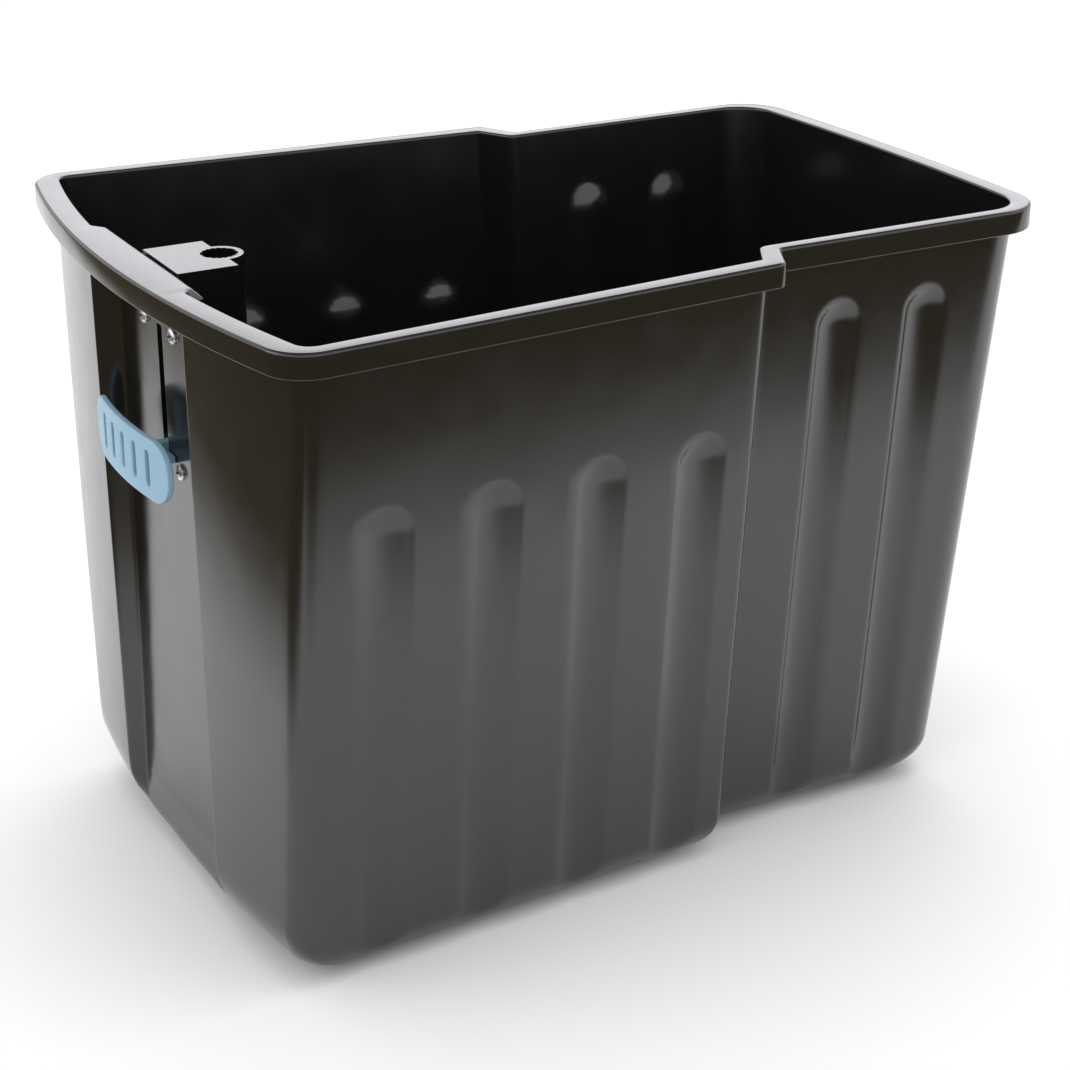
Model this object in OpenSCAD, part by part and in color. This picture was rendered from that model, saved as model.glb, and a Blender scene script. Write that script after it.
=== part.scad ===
// Collection box of a garden shredder, in one shared frame: origin in the middle of the
// base, +Z up, +X along the length. The handle end points to -X.

/* [Rim] */
// Length over the rim
rim_l = 565; // [500:1:680]
// Height over all, from the feet to the top of the rim
total_h = 414; // [360:1:500]
// Half width of the rim line at the handle end
handle_half_w = 212.8; // [185:0.1:255]
// Half width of the rim line just before the step in the sides
step_half_w = 190.8; // [178:0.1:225]
// Half width of the rim line just behind the step
rear_half_w = 164.5; // [140:0.1:176]
// Half width of the rim line at the far end
far_half_w = 166.3; // [140:0.1:180]
// Length of the wide part, from the handle end to the step
wide_l = 344.6; // [300:0.1:400]
// Run of the step along the length
step_run = 13.3; // [8:0.1:20]
// Radius of the bowed handle end
handle_bow_r = 890; // [700:5:1500]
// Radius of the bowed far end
far_bow_r = 2350; // [1200:10:4000]
// Corner radius of the rim at the handle end
handle_corner_r = 26; // [20:0.5:36]
// Corner radius of the rim at the far end
far_corner_r = 34; // [24:0.5:44]
// Height of the turned-down lip
lip_h = 15; // [10:0.5:20]
// Thickness of the lip
lip_t = 2.5; // [2:0.1:3]
// Edge radius on top of the rim
rim_edge_r = 2; // [1:0.1:2.5]

/* [Walls] */
// Thickness of walls and floor
wall = 3; // [2:0.1:4]
// Overhang of the rim at the handle end
handle_overhang = 13.2; // [10:0.1:16]
// Overhang of the rim along the wide part
wide_overhang = 9.7; // [8:0.1:14]
// Overhang of the rim along the narrow part
narrow_overhang = 6.7; // [6:0.1:12]
// Overhang of the rim at the far end
far_overhang = 10; // [7:0.1:14]
// Overhang of the rim at the step
step_overhang = 5.8; // [5:0.1:9]
// Slope of the handle end in degrees
handle_draft = 0.4; // [0:0.1:3]
// Slope of the long sides of the wide part in degrees
wide_draft = 4.8; // [2:0.1:6]
// Slope of the long sides of the narrow part in degrees
narrow_draft = 5; // [2:0.1:6]
// Slope of the far end in degrees
far_draft = 2.3; // [1:0.1:5]
// Radius of the bow of the handle end near the floor
low_bow_r = 1046; // [800:1:1600]
// Radius of the vertical corners at the handle end
wall_corner_handle_r = 13; // [11:0.5:22]
// Radius of the vertical corners at the far end
wall_corner_far_r = 30; // [20:0.5:40]
// Rounding between floor and handle end
handle_base_r = 45; // [30:1:50]
// Rounding between floor and the other walls
side_base_r = 28; // [20:1:34]
// Corner radius of the flat floor
floor_corner_r = 34; // [20:1:45]

/* [Feet] */
// Height of the round feet
foot_h = 3; // [2:0.1:4]
// Radius of the round feet
foot_r = 28; // [20:1:30]
// Distance of the front feet from the handle end
front_foot_inset = 77; // [70:1:95]
// Half distance between the front feet
front_foot_half_w = 112; // [80:1:120]
// Distance of the rear feet from the far end
rear_foot_inset = 80; // [75:1:100]
// Half distance between the rear feet
rear_foot_half_w = 72; // [50:1:78]

/* [Grooves] */
// Width of a groove in the wide part
wide_groove_w = 34.5; // [24:0.5:40]
// Width of a groove in the narrow part
narrow_groove_w = 31; // [24:0.5:36]
// Depth of the grooves
groove_depth = 4.6; // [3:0.1:10]
// Distance of the first groove from the handle end
first_groove_inset = 87; // [70:0.5:110]
// Pitch of the grooves in the wide part
wide_groove_pitch = 71.2; // [60:0.1:80]
// Distance of the last groove from the far end
last_groove_inset = 90; // [80:0.5:110]
// Pitch of the grooves in the narrow part
narrow_groove_pitch = 65; // [50:0.5:75]
// Depth of the groove tops below the rim in the wide part
wide_groove_drop = 104; // [70:1:140]
// Depth of the groove tops below the rim in the narrow part
narrow_groove_drop = 43; // [30:1:90]

/* [Recess in the handle end] */
// Distance of the recess floor from the foremost point of the rim
recess_floor_x = 31; // [26:0.1:36]
// How far the recess floor leans forward at the bottom
recess_lean = 3.5; // [0:0.1:6]
// Half width of the recess floor
recess_floor_half_w = 68.2; // [60:0.1:72]
// Half width of the recess at the wall face
recess_half_w = 76.4; // [72:0.1:84]
// How far the ledge on the rim reaches over the recess floor
ledge_reach = 8.3; // [4:0.1:10]
// Height of the slope under the ledge
ledge_h = 8; // [5:0.5:10]
// Width of the slot for the stem
slot_w = 8; // [7:0.1:10]
// Depth of the slot top below the rim
slot_top_drop = 42.5; // [38:0.5:46]
// Depth of the slot bottom below the rim
slot_bottom_drop = 131; // [128:0.5:140]

/* [Lock] */
// Upward travel of the lock
travel = 70; // [40:1:72]
// Half width of the guide housing
housing_half_w = 28.6; // [27:0.1:34]
// Wall of the guide housing
housing_wall = 2.5; // [2:0.1:3]
// Depth of the guide housing, from the wall of the box
housing_depth = 37.5; // [34:0.5:44]
// Depth of the housing's top face below the rim
housing_top_drop = 4.7; // [3:0.1:8]
// Height of the guide housing
housing_h = 141; // [136:1:160]
// Distance of the pin's axis behind the recess floor
pin_axis_back = 39.9; // [38:0.1:44]
// Radius of the lock pin
pin_r = 9.9; // [9:0.1:10]
// Clearance between the pin and the ribs of its ring
pin_clearance = 0.3; // [0.2:0.1:0.6]
// Outer radius of the ring and of the channel below it
ring_r = 14.5; // [14:0.1:17]
// Depth of the pin's top below the rim when the lock is down
pin_top_drop = 15; // [12:0.5:20]
// Length of the lock pin
pin_l = 100; // [90:1:110]
// Number of ribs around the ring's hole
ring_ribs = 18; // [12:1:24]

/* [Grip] */
// Half length of the grip plate
grip_half_l = 60; // [50:0.5:64]
// Height of the grip plate
grip_h = 38.5; // [30:0.5:44]
// Thickness of the grip plate
grip_t = 4; // [3:0.1:5]
// Radius of the bowed grip plate
grip_bow_r = 320; // [200:1:500]
// Corner radius of the grip plate
grip_corner_r = 17; // [8:0.5:18]
// Gap between the foremost points of the grip and the rim
grip_setback = 3.3; // [0.2:0.1:5]
// Depth of the grip's middle below the rim when the lock is down
grip_drop = 116.5; // [114:0.5:120]
// Number of slots in the grip plate
grip_slots = 5; // [3:1:6]
// Pitch of the slots
grip_slot_pitch = 18; // [14:0.5:20]
// Width of a slot
grip_slot_w = 5.5; // [2:0.1:8]
// Height of a slot
grip_slot_h = 23; // [14:0.5:26]

/* [Screws] */
// Half distance between the housing screws, sideways
screw_half_w = 23.5; // [23:0.1:25]
// Depth of the upper housing screws below the rim
upper_screw_drop = 43; // [38:0.5:50]
// Depth of the lower housing screws below the rim
lower_screw_drop = 128; // [124:0.5:134]
// Radius of the screw shanks
screw_r = 2; // [1.6:0.1:2.2]
// Head radius of the housing screws
screw_head_r = 5.1; // [4:0.1:5.5]
// Head height of the housing screws
screw_head_h = 3; // [2:0.1:3.5]
// Length of the housing screws below the head
screw_l = 18; // [12:1:24]

/* [Hidden] */
$fn = 48;

black = "#1d1c1b";
blue = "#8fbcd9";
zinc = "#c9ccd0";

// Overlap of cutting shapes past the faces they cut
past = 1;

// Places along the length
handle_x = -rim_l / 2;
far_x = rim_l / 2;
step_x = handle_x + wide_l;
floor_x = handle_x + recess_floor_x;
inner_x = floor_x + wall;
no_recess = handle_x - 100;

// Segments of the outline's arcs
bow_n = 4;
handle_corner_n = 6;
step_outer_n = 3;
step_inner_n = 2;
far_corner_n = 6;
far_bow_n = 4;

// Radii of the step's two edges on the rim and on the walls
step_edge_r = 7;
step_root_r = 4;

// Heights
wall_low = side_base_r;
wall_drop = total_h - wall_low;
lean_z = total_h - 164;

// Insets of the outer wall face from the rim outline, as handle end, wide part, narrow part,
// far end and step, a drop below the rim
function wall_insets(drop) = [
    handle_overhang + drop * tan(handle_draft),
    wide_overhang + drop * tan(wide_draft),
    narrow_overhang + drop * tan(narrow_draft),
    far_overhang + drop * tan(far_draft),
    step_overhang];
// The same five insets, all equal
function even(inset) = [inset, inset, inset, inset, inset];
function mix(a, b, t) = a + (b - a) * t;

// Points along an arc, without its start
function arc(c, r, from, to, n) = [for (i = [1:n])
    [c[0] + r * cos(mix(from, to, i / n)), c[1] + r * sin(mix(from, to, i / n))]];
// Heading of a vector
function heading(v) = atan2(v[1], v[0]);
// Unit vector
function unit(v) = v / norm(v);
// Outward normal of a line that runs along the +Y side from p to q
function outward(p, q) = [-unit(q - p)[1], unit(q - p)[0]];
// Centre of a circle of radius r that touches the line p-q and a bow of radius bow from inside.
// end is -1 for the handle end and 1 for the far end
function corner_centre(p, q, r, bow_x, bow, end) =
    let (along = unit(q - p), start = p - outward(p, q) * r, from_bow = start - [bow_x, 0],
        half_b = from_bow * along, rest = from_bow * from_bow - pow(bow - r, 2))
    start + along * (-half_b + end * sqrt(half_b * half_b - rest));
// Rounding of the corner at b between a and c, n segments
function rounded(a, b, c, r, n) =
    let (u = unit(a - b), v = unit(c - b), half = acos(u * v) / 2,
        centre = b + unit(u + v) * r / sin(half), start = b + u * r / tan(half) - centre,
        from = heading(start), turn = heading(b + v * r / tan(half) - centre) - from,
        swing = turn > 180 ? turn - 360 : turn < -180 ? turn + 360 : turn)
    concat([centre + start], arc(centre, r, from, from + swing, n));

// Half outline on the +Y side, from the middle of the handle end to the middle of the far end.
// in: five insets. radii: handle bow, handle corner, far corner, step edge, step root.
// recess: x of its floor, half widths of its floor and mouth
function half_outline(in, radii, recess) =
    let (xa = handle_x + in[0], xb = far_x - in[3], xs = step_x - in[4],
        bow = radii[0] - in[0], far_bow = far_bow_r - in[3], bow_x = xa + bow, far_bow_x = xb - far_bow,
        p0 = [xa, handle_half_w - in[1]], p1 = [xs, step_half_w - in[1]],
        p2 = [xs + step_run, rear_half_w - in[2]], p3 = [xb, far_half_w - in[2]],
        near_c = corner_centre(p0, p1, radii[1], bow_x, bow, -1),
        far_c = corner_centre(p2, p3, radii[2], far_bow_x, far_bow, 1),
        near_turn = heading(near_c - [bow_x, 0]), far_turn = heading(far_c - [far_bow_x, 0]),
        mouth_turn = 180 - asin(recess[2] / bow),
        floor_bow = bow_x - sqrt(bow * bow - recess[1] * recess[1]),
        xf = max(recess[0], floor_bow))
    concat(
        [[max(recess[0], xa), 0], [xf, recess[1]]],
        [[bow_x + bow * cos(mouth_turn), bow * sin(mouth_turn)]],
        arc([bow_x, 0], bow, mouth_turn, near_turn, bow_n),
        arc(near_c, radii[1], near_turn, heading(outward(p0, p1)), handle_corner_n),
        rounded(p0, p1, p2, radii[3], step_outer_n),
        rounded(p1, p2, p3, radii[4], step_inner_n),
        [far_c + radii[2] * outward(p2, p3)],
        arc(far_c, radii[2], heading(outward(p2, p3)), far_turn, far_corner_n),
        arc([far_bow_x, 0], far_bow, far_turn, 0, far_bow_n));

// How much each point of the half outline belongs to the handle end, from 1 to 0
handle_share = concat([for (i = [1:3 + bow_n]) 1], [for (i = [1:handle_corner_n]) 1 - i / handle_corner_n],
    [for (i = [1:step_outer_n + step_inner_n + far_corner_n + far_bow_n + 3]) 0]);

// Whole ring from a half outline and the heights of its points
function ring(half, heights) = concat(
    [for (i = [0:len(half) - 1]) [half[i][0], half[i][1], heights[i]]],
    [for (i = [len(half) - 2:-1:1]) [half[i][0], -half[i][1], heights[i]]]);
function level(z) = [for (share = handle_share) z];

// Recess of a face t inside the outer face, with its floor at x
function recess_at(x, t) =
    let (side = atan2(recess_half_w - recess_floor_half_w, 15), spread = t * tan(45 - side / 2))
    [x, recess_floor_half_w + spread, recess_half_w + spread];

// Ring of the wall, t inside its outer face, a drop below the rim
function wall_ring(drop, t, recess_x) = ring(
    half_outline(wall_insets(drop) + even(t),
        [mix(handle_bow_r, low_bow_r, drop / wall_drop), wall_corner_handle_r - t, wall_corner_far_r - t,
            step_edge_r - t, step_root_r + t],
        recess_at(recess_x + t, t)),
    level(total_h - drop));

// Ring of the rounding to the floor, t inside its outer face, turned by an angle
function base_ring(turn, t) =
    let (handle_in = handle_base_r - (handle_base_r - t) * cos(turn),
        side_in = side_base_r - (side_base_r - t) * cos(turn),
        blend = 1 - cos(turn),
        in = wall_insets(wall_drop) + [handle_in, side_in, side_in, side_in, side_in])
    ring(
        half_outline(in,
            [low_bow_r, mix(wall_corner_handle_r, floor_corner_r, blend) - t,
                mix(wall_corner_far_r, floor_corner_r, blend) - t,
                max(step_edge_r - side_in, 1), step_root_r + side_in],
            recess_at(floor_x - recess_lean + t, t)),
        [for (share = handle_share) foot_h + mix(side_base_r - (side_base_r - t) * sin(turn),
            handle_base_r - (handle_base_r - t) * sin(turn), share)]);

// Ring of the rim's outline, moved in
function rim_ring(inset, z) = ring(
    half_outline(even(inset), [handle_bow_r, handle_corner_r - inset, far_corner_r - inset,
        step_edge_r - inset, step_root_r + inset], recess_at(no_recess, 0)),
    level(z));

// Solid through a list of rings that have equally many points
module loft(rings) {
    n = len(rings[0]);
    last = len(rings) - 1;
    points = [for (one = rings) each one];
    sides = [for (k = [0:last - 1]) for (i = [0:n - 1])
        let (a = k * n + i, b = k * n + (i + 1) % n)
        each [[a, b, b + n], [a, b + n, a + n]]];
    bottom = [for (i = [n - 1:-1:0]) i];
    top = [for (i = [0:n - 1]) last * n + i];
    polyhedron(points, concat([bottom, top], sides), convexity = 12);
}

base_turns = [90, 72, 54, 36, 18, 0];
slope_drop = ledge_h + wall;

// Outer shape of the tub with its rim
module outer_shape() loft(concat(
    [for (turn = base_turns) base_ring(turn, 0)],
    [wall_ring(total_h - lean_z, 0, floor_x),
        wall_ring(slope_drop, 0, floor_x),
        wall_ring(wall, 0, floor_x - ledge_reach),
        rim_ring(lip_t, total_h - wall),
        rim_ring(lip_t, total_h - lip_h),
        rim_ring(0, total_h - lip_h),
        rim_ring(0, total_h - rim_edge_r),
        rim_ring(rim_edge_r * 0.3, total_h - rim_edge_r * 0.3),
        rim_ring(rim_edge_r, total_h)]));

// Space inside the tub, open through the top
module inner_space() loft(concat(
    [for (turn = base_turns) base_ring(turn, wall)],
    [wall_ring(total_h - lean_z, wall, floor_x),
        wall_ring(ledge_h, wall, floor_x),
        wall_ring(0, wall, floor_x - ledge_reach),
        wall_ring(-past, wall, floor_x - ledge_reach)]));

// Round-topped rod that forms a groove in the +Y side, grown by t. Its cap ends a drop below the rim
module groove_rod(x, drop, width, inset, draft, half_w, t) {
    r = (width * width / 4 + groove_depth * groove_depth) / (2 * groove_depth);
    centre_drop = drop + width / 2;
    y = half_w - inset - centre_drop * tan(draft);
    translate([x, y, total_h - centre_drop])
        rotate([-draft, 0, 0])
            translate([0, r - groove_depth, 0])
                rotate_extrude()
                    polygon(concat([[0, -total_h], [r + t, -total_h]],
                        [for (i = [0:9]) [(r + t) * cos(i * 10), (r + t) * sin(i * 10)]]));
}

// All grooves of the +Y side, grown by t
module groove_rods(t) {
    for (i = [0:3]) {
        x = handle_x + first_groove_inset + i * wide_groove_pitch;
        groove_rod(x, wide_groove_drop, wide_groove_w, wide_overhang, wide_draft,
            mix(handle_half_w, step_half_w, (x - handle_x) / wide_l), t);
    }
    for (i = [0:1]) {
        x = far_x - last_groove_inset - i * narrow_groove_pitch;
        groove_rod(x, narrow_groove_drop, narrow_groove_w, narrow_overhang, narrow_draft,
            mix(rear_half_w, far_half_w, (x - step_x) / (rim_l - wide_l)), t);
    }
}

module both_sides() {
    children();
    mirror([0, 1, 0]) children();
}

// Centres of the housing screws, as y and z
upper_screw_z = total_h - upper_screw_drop;
lower_screw_z = total_h - lower_screw_drop;
screw_places = [[-screw_half_w, upper_screw_z], [screw_half_w, upper_screw_z],
    [-screw_half_w, lower_screw_z], [screw_half_w, lower_screw_z]];

// Rod along +X from a point
module rod_x(x, y, z, r, l) translate([x, y, z]) rotate([0, 90, 0]) cylinder(r = r, h = l);

// Tub of one moulding: bowed and stepped walls, rolled rim, grooves, recess and feet
module tub() color(black) {
    difference() {
        outer_shape();
        difference() {
            inner_space();
            both_sides() groove_rods(wall);
        }
        both_sides() groove_rods(0);
        translate([floor_x - past, -slot_w / 2, total_h - slot_bottom_drop])
            cube([wall + 2 * past, slot_w, slot_bottom_drop - slot_top_drop]);
        for (place = screw_places)
            rod_x(floor_x - past, place[0], place[1], screw_r + 0.3, wall + 2 * past);
    }
    both_sides() {
        translate([handle_x + front_foot_inset, front_foot_half_w, 0]) cylinder(r = foot_r, h = 2 * foot_h - 0.1);
        translate([far_x - rear_foot_inset, rear_foot_half_w, 0]) cylinder(r = foot_r, h = 2 * foot_h - 0.1);
    }
}

// Guide housing
housing_top = total_h - housing_top_drop;
housing_bottom = housing_top - housing_h;
pin_x = floor_x + pin_axis_back;
boss_r = 4.5;
boss_bore_depth = screw_l - wall;
rib_t = 2;

// Cover inside the tub that guides the lock: open towards the wall, with a ribbed ring on top
module guide_housing() color(black) {
    back_x = inner_x + housing_depth;
    inside_w = housing_half_w - housing_wall;
    hole_r = pin_r + pin_clearance;
    root_r = hole_r + 1;
    difference() {
        union() {
            difference() {
                union() {
                    translate([inner_x, -housing_half_w, housing_bottom])
                        cube([housing_depth, 2 * housing_half_w, housing_h]);
                    translate([pin_x, 0, housing_bottom]) cylinder(r = ring_r, h = housing_h);
                }
                translate([inner_x - past, -inside_w, housing_bottom + housing_wall])
                    cube([housing_depth - housing_wall + past, 2 * inside_w, housing_h - 2 * housing_wall]);
                translate([pin_x, 0, housing_bottom + housing_wall])
                    cylinder(r = ring_r - housing_wall, h = housing_h - 2 * housing_wall);
            }
            for (place = screw_places)
                rod_x(inner_x, place[0], place[1], boss_r, housing_depth - housing_wall / 2);
        }
        translate([pin_x, 0, housing_top - housing_wall - past])
            cylinder(r = root_r, h = housing_wall + 2 * past);
        for (place = screw_places)
            rod_x(inner_x - past, place[0], place[1], screw_r, boss_bore_depth + past);
    }
    // Ribs of the ring, each a short bar that ends at the hole's radius
    for (i = [0:ring_ribs - 1])
        translate([pin_x, 0, housing_top - housing_wall])
            rotate([0, 0, i * 360 / ring_ribs])
                translate([hole_r, -rib_t / 4, 0]) cube([root_r - hole_r + 0.3, rib_t / 2, housing_wall]);
}

// Lock and grip
grip_z = total_h - grip_drop;
tongue_half_w = 3.3;
tongue_top = grip_z + 1.5;
tongue_h = 15;
tongue_bottom = tongue_top - tongue_h;
tongue_reach = 8.5;
carriage_half_w = 17.7;
carriage_x = inner_x + 0.3;
carriage_depth = 20;
carriage_margin = 4;
fit_gap = 0.1;
tongue_end = inner_x + tongue_reach;
carriage_back = carriage_x + carriage_depth;
web_half_w = 4;
grip_screw_r = 1.4;
grip_screw_head_r = 2.8;
grip_screw_head_h = 1.8;
grip_screw_reach = 6;
grip_screw_head_x = carriage_back - grip_screw_head_h;
grip_screw_offset = 3.9;
tongue_mid = tongue_top - tongue_h / 2;

// Slider inside the housing: carriage, web and lock pin in one piece
module lock_slider() color(black) {
    pin_top = total_h - pin_top_drop;
    pin_bottom = pin_top - pin_l;
    low = tongue_bottom - carriage_margin;
    high = tongue_top + carriage_margin;
    difference() {
        union() {
            translate([carriage_x, -carriage_half_w, low])
                cube([carriage_depth, 2 * carriage_half_w, high - low]);
            translate([carriage_x + past, -web_half_w, low])
                cube([pin_x - carriage_x - past, 2 * web_half_w, high - low + 12]);
            translate([pin_x, 0, min(low, pin_bottom)])
                cylinder(r = pin_r, h = pin_top - min(low, pin_bottom) - 1.5);
            translate([pin_x, 0, pin_top - 1.5]) cylinder(r1 = pin_r, r2 = pin_r - 1.5, h = 1.5);
        }
        translate([carriage_x - past, -tongue_half_w - fit_gap, tongue_bottom - fit_gap])
            cube([tongue_end - carriage_x + past, 2 * (tongue_half_w + fit_gap), tongue_h + 2 * fit_gap]);
        for (side = [-1, 1]) {
            rod_x(tongue_end - past, 0, tongue_mid + side * grip_screw_offset, grip_screw_r, carriage_depth);
            rod_x(grip_screw_head_x, 0, tongue_mid + side * grip_screw_offset, grip_screw_head_r + 0.2, 6);
        }
    }
}

// Plate profile of the grip with round corners, from above the middle
module grip_face() {
    flat = 2 * (grip_half_l - grip_corner_r);
    rise = grip_h - 2 * grip_corner_r;
    square([flat, grip_h], center = true);
    square([2 * grip_half_l, rise], center = true);
    for (x = [-1, 1]) for (y = [-1, 1])
        translate([x * flat / 2, y * rise / 2]) circle(r = grip_corner_r);
}

// Round-ended slot profile
module slot_face(w, h) {
    square([w, h - w], center = true);
    for (side = [-1, 1]) translate([0, side * (h - w) / 2]) circle(r = w / 2);
}

// Stands a face, drawn with y across and z up, along +X from x
module stand_x(x, l) translate([x, 0, grip_z]) rotate([90, 0, 90]) linear_extrude(l) children();

// Blue grip: bowed plate with slots, shelf and tongue
module grip() color(blue) {
    bow_x = handle_x + grip_setback + grip_bow_r;
    reach = grip_bow_r - sqrt(grip_bow_r * grip_bow_r - grip_half_l * grip_half_l) + grip_t + past;
    shelf_half_w = 15.6;
    shelf_t = 4.5;
    plate_inner_x = handle_x + grip_setback + grip_t;
    difference() {
        union() {
            intersection() {
                difference() {
                    translate([bow_x, 0, grip_z - grip_h]) cylinder(r = grip_bow_r, h = 2 * grip_h, $fn = 180);
                    translate([bow_x, 0, grip_z - grip_h - past])
                        cylinder(r = grip_bow_r - grip_t, h = 2 * grip_h + 2 * past, $fn = 180);
                }
                stand_x(handle_x - past, reach + past) grip_face();
            }
            translate([plate_inner_x - grip_t / 2, -tongue_half_w, tongue_bottom])
                cube([tongue_end - plate_inner_x + grip_t / 2, 2 * tongue_half_w, tongue_h]);
            translate([plate_inner_x - grip_t / 4, -shelf_half_w, grip_z - 8.5])
                cube([floor_x - 0.3 - plate_inner_x + grip_t / 4, 2 * shelf_half_w, shelf_t]);
        }
        for (i = [0:grip_slots - 1])
            translate([0, (i - (grip_slots - 1) / 2) * grip_slot_pitch, 0])
                stand_x(handle_x - past, grip_t + past + 2.5) slot_face(grip_slot_w, grip_slot_h);
        for (side = [-1, 1])
            rod_x(tongue_end - grip_screw_reach, 0, tongue_mid + side * grip_screw_offset, grip_screw_r,
                grip_screw_reach + past);
    }
}

// Pan-head screw along +X: head to the left of the origin, shank to the right
module pan_screw(head_r, head_h, r, l) {
    slot = head_r * 0.28;
    difference() {
        union() {
            rotate([0, -90, 0]) cylinder(r = head_r, h = head_h * 0.5);
            translate([-head_h * 0.5, 0, 0])
                rotate([0, -90, 0]) cylinder(r1 = head_r, r2 = head_r * 0.55, h = head_h * 0.5);
            rod_x(-past, 0, 0, r, l + past);
        }
        for (turn = [0, 90])
            rotate([turn, 0, 0])
                translate([-head_h - past, -slot / 2, -head_r * 0.5])
                    cube([head_h * 0.5 + past, slot, head_r]);
    }
}

// Screw that holds the guide housing, through the recess floor
module housing_screw(i) color(zinc)
    translate([floor_x, screw_places[i][0], screw_places[i][1]])
        pan_screw(screw_head_r, screw_head_h, screw_r, screw_l);

// Screw that holds the slider to the grip's tongue, from inside
module grip_screw(side) color(zinc)
    translate([grip_screw_head_x, 0, tongue_mid + side * grip_screw_offset])
        rotate([0, 0, 180])
            pan_screw(grip_screw_head_r, grip_screw_head_h, grip_screw_r,
                grip_screw_head_x - tongue_end + grip_screw_reach);

tub();
guide_housing();
lock_slider();
grip();
grip_screw(1);  // grip_screw_upper
grip_screw(-1);  // grip_screw_lower
housing_screw(0);  // housing_screw_1
housing_screw(1);  // housing_screw_2
housing_screw(2);  // housing_screw_3
housing_screw(3);  // housing_screw_4
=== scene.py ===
# %% [markdown]
# # Collection box of a garden shredder
# The real box is one deep moulding of glossy black plastic with a rolled rim. A blue grip at
# the handle end lifts a lock pin through a ribbed ring. This lesson builds each piece in the
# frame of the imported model: +Z up, +X along the box, the handle end towards -X.

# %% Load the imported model
import math

import bmesh
import bpy
import numpy as np
from mathutils import Matrix, Vector


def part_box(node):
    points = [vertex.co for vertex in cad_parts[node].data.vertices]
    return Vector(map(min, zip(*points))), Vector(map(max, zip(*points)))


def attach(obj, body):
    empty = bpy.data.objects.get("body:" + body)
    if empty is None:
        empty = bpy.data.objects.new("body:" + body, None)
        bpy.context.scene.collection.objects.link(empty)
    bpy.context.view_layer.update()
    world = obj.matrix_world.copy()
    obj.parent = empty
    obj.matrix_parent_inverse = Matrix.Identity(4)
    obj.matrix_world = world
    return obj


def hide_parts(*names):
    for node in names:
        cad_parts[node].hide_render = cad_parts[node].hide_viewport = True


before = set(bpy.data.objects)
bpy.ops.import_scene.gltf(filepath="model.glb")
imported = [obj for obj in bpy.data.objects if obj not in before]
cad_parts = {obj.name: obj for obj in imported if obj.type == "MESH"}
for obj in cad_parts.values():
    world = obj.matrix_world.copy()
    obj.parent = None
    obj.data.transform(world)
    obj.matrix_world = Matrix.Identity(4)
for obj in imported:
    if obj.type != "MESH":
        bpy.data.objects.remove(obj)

bpy.context.view_layer.update()
MM = 0.001

# %% [markdown]
# ## Sizes
# All sizes below are millimetres. The length, the height and the middle come from the packed
# tub, so the visual mesh can't drift away from it. The rest are the moulding's own radii,
# drafts and overhangs.

# %% Driving sizes of the tub
TUB_LOW, TUB_HIGH = [np.array(corner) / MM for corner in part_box("tub")]
HANDLE_X = TUB_LOW[0]
FAR_X = TUB_HIGH[0]
TOP = TUB_HIGH[2]
STEP_X = HANDLE_X + 344.6
STEP_RUN = 13.3
HANDLE_HALF_W = 212.8
STEP_HALF_W = 190.8
REAR_HALF_W = 164.5
FAR_HALF_W = 166.3
HANDLE_BOW_R = 890.0
LOW_BOW_R = 1046.0
FAR_BOW_R = 2350.0
WALL = 3.0
LIP_H = 15.0
LIP_T = 2.5
RIM_EDGE_R = 2.0
FOOT_H = 3.0

# %% Walls: overhangs of the rim, drafts in degrees and rounding radii
OVERHANG = np.array([13.2, 9.7, 6.7, 10.0, 5.8])
DRAFT = np.array([0.4, 4.8, 5.0, 2.3, 0.0])
RIM_CORNER_HANDLE = 26.0
RIM_CORNER_FAR = 34.0
WALL_CORNER_HANDLE = 13.0
WALL_CORNER_FAR = 30.0
FLOOR_CORNER = 34.0
STEP_EDGE = 7.0
STEP_ROOT = 4.0
HANDLE_BASE_R = 45.0
SIDE_BASE_R = 28.0
WALL_DROP = TOP - SIDE_BASE_R

# %% Recess in the handle end
FLOOR_X = HANDLE_X + 31.0
INNER_X = FLOOR_X + WALL
RECESS_LEAN = 3.5
RECESS_LEAN_DROP = 164.0
RECESS_FLOOR_W = 68.2
RECESS_MOUTH_W = 76.4
RECESS_SPREAD = 0.58
LEDGE_REACH = 8.3
LEDGE_H = 8.0
print("recess floor at", FLOOR_X, "mm")

# %% [markdown]
# ## The tub's outline
# Seen from above, every level of the tub has the same outline: a bowed handle end, a slightly
# tapered wide part, a step, a narrow part and a nearly straight far end. One function draws
# half of it from five insets, so rim, walls and floor rounding all come from one rule. Each
# ring has equally many points, which makes the walls a plain grid of quads.

# %% Soft steps, for edges that are rounded instead of sharp
def soft_ramp(s, edge=0.15):
    """0 to 1 as s goes from 0 to 1, with rounded ends."""
    s = np.asarray(s, float)
    low = (s + edge) ** 2 / (4 * edge)
    high = 1 - (1 - s + edge) ** 2 / (4 * edge)
    middle = np.where(s > 1 - edge, high, s)
    middle = np.where(s < edge, low, middle)
    return np.where(s <= -edge, 0.0, np.where(s >= 1 + edge, 1.0, middle))


def soft_max(a, b, blend):
    """The larger of a and b, with a rounded change between them where both are above 0."""
    blend = np.minimum(blend, 2 * np.minimum(a, b)) + 1e-6
    near = np.maximum(blend - np.abs(a - b), 0) / blend
    return np.maximum(a, b) + near**2 * blend / 4


# %% Small helpers for flat geometry
def unit(v):
    return v / np.linalg.norm(v)


def heading(v):
    return math.atan2(v[1], v[0])


def outward(p, q):
    along = unit(q - p)
    return np.array([-along[1], along[0]])


def arc(centre, radius, start, end, count):
    turns = np.linspace(start, end, count + 1)[1:]
    return centre + radius * np.column_stack([np.cos(turns), np.sin(turns)])


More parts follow.
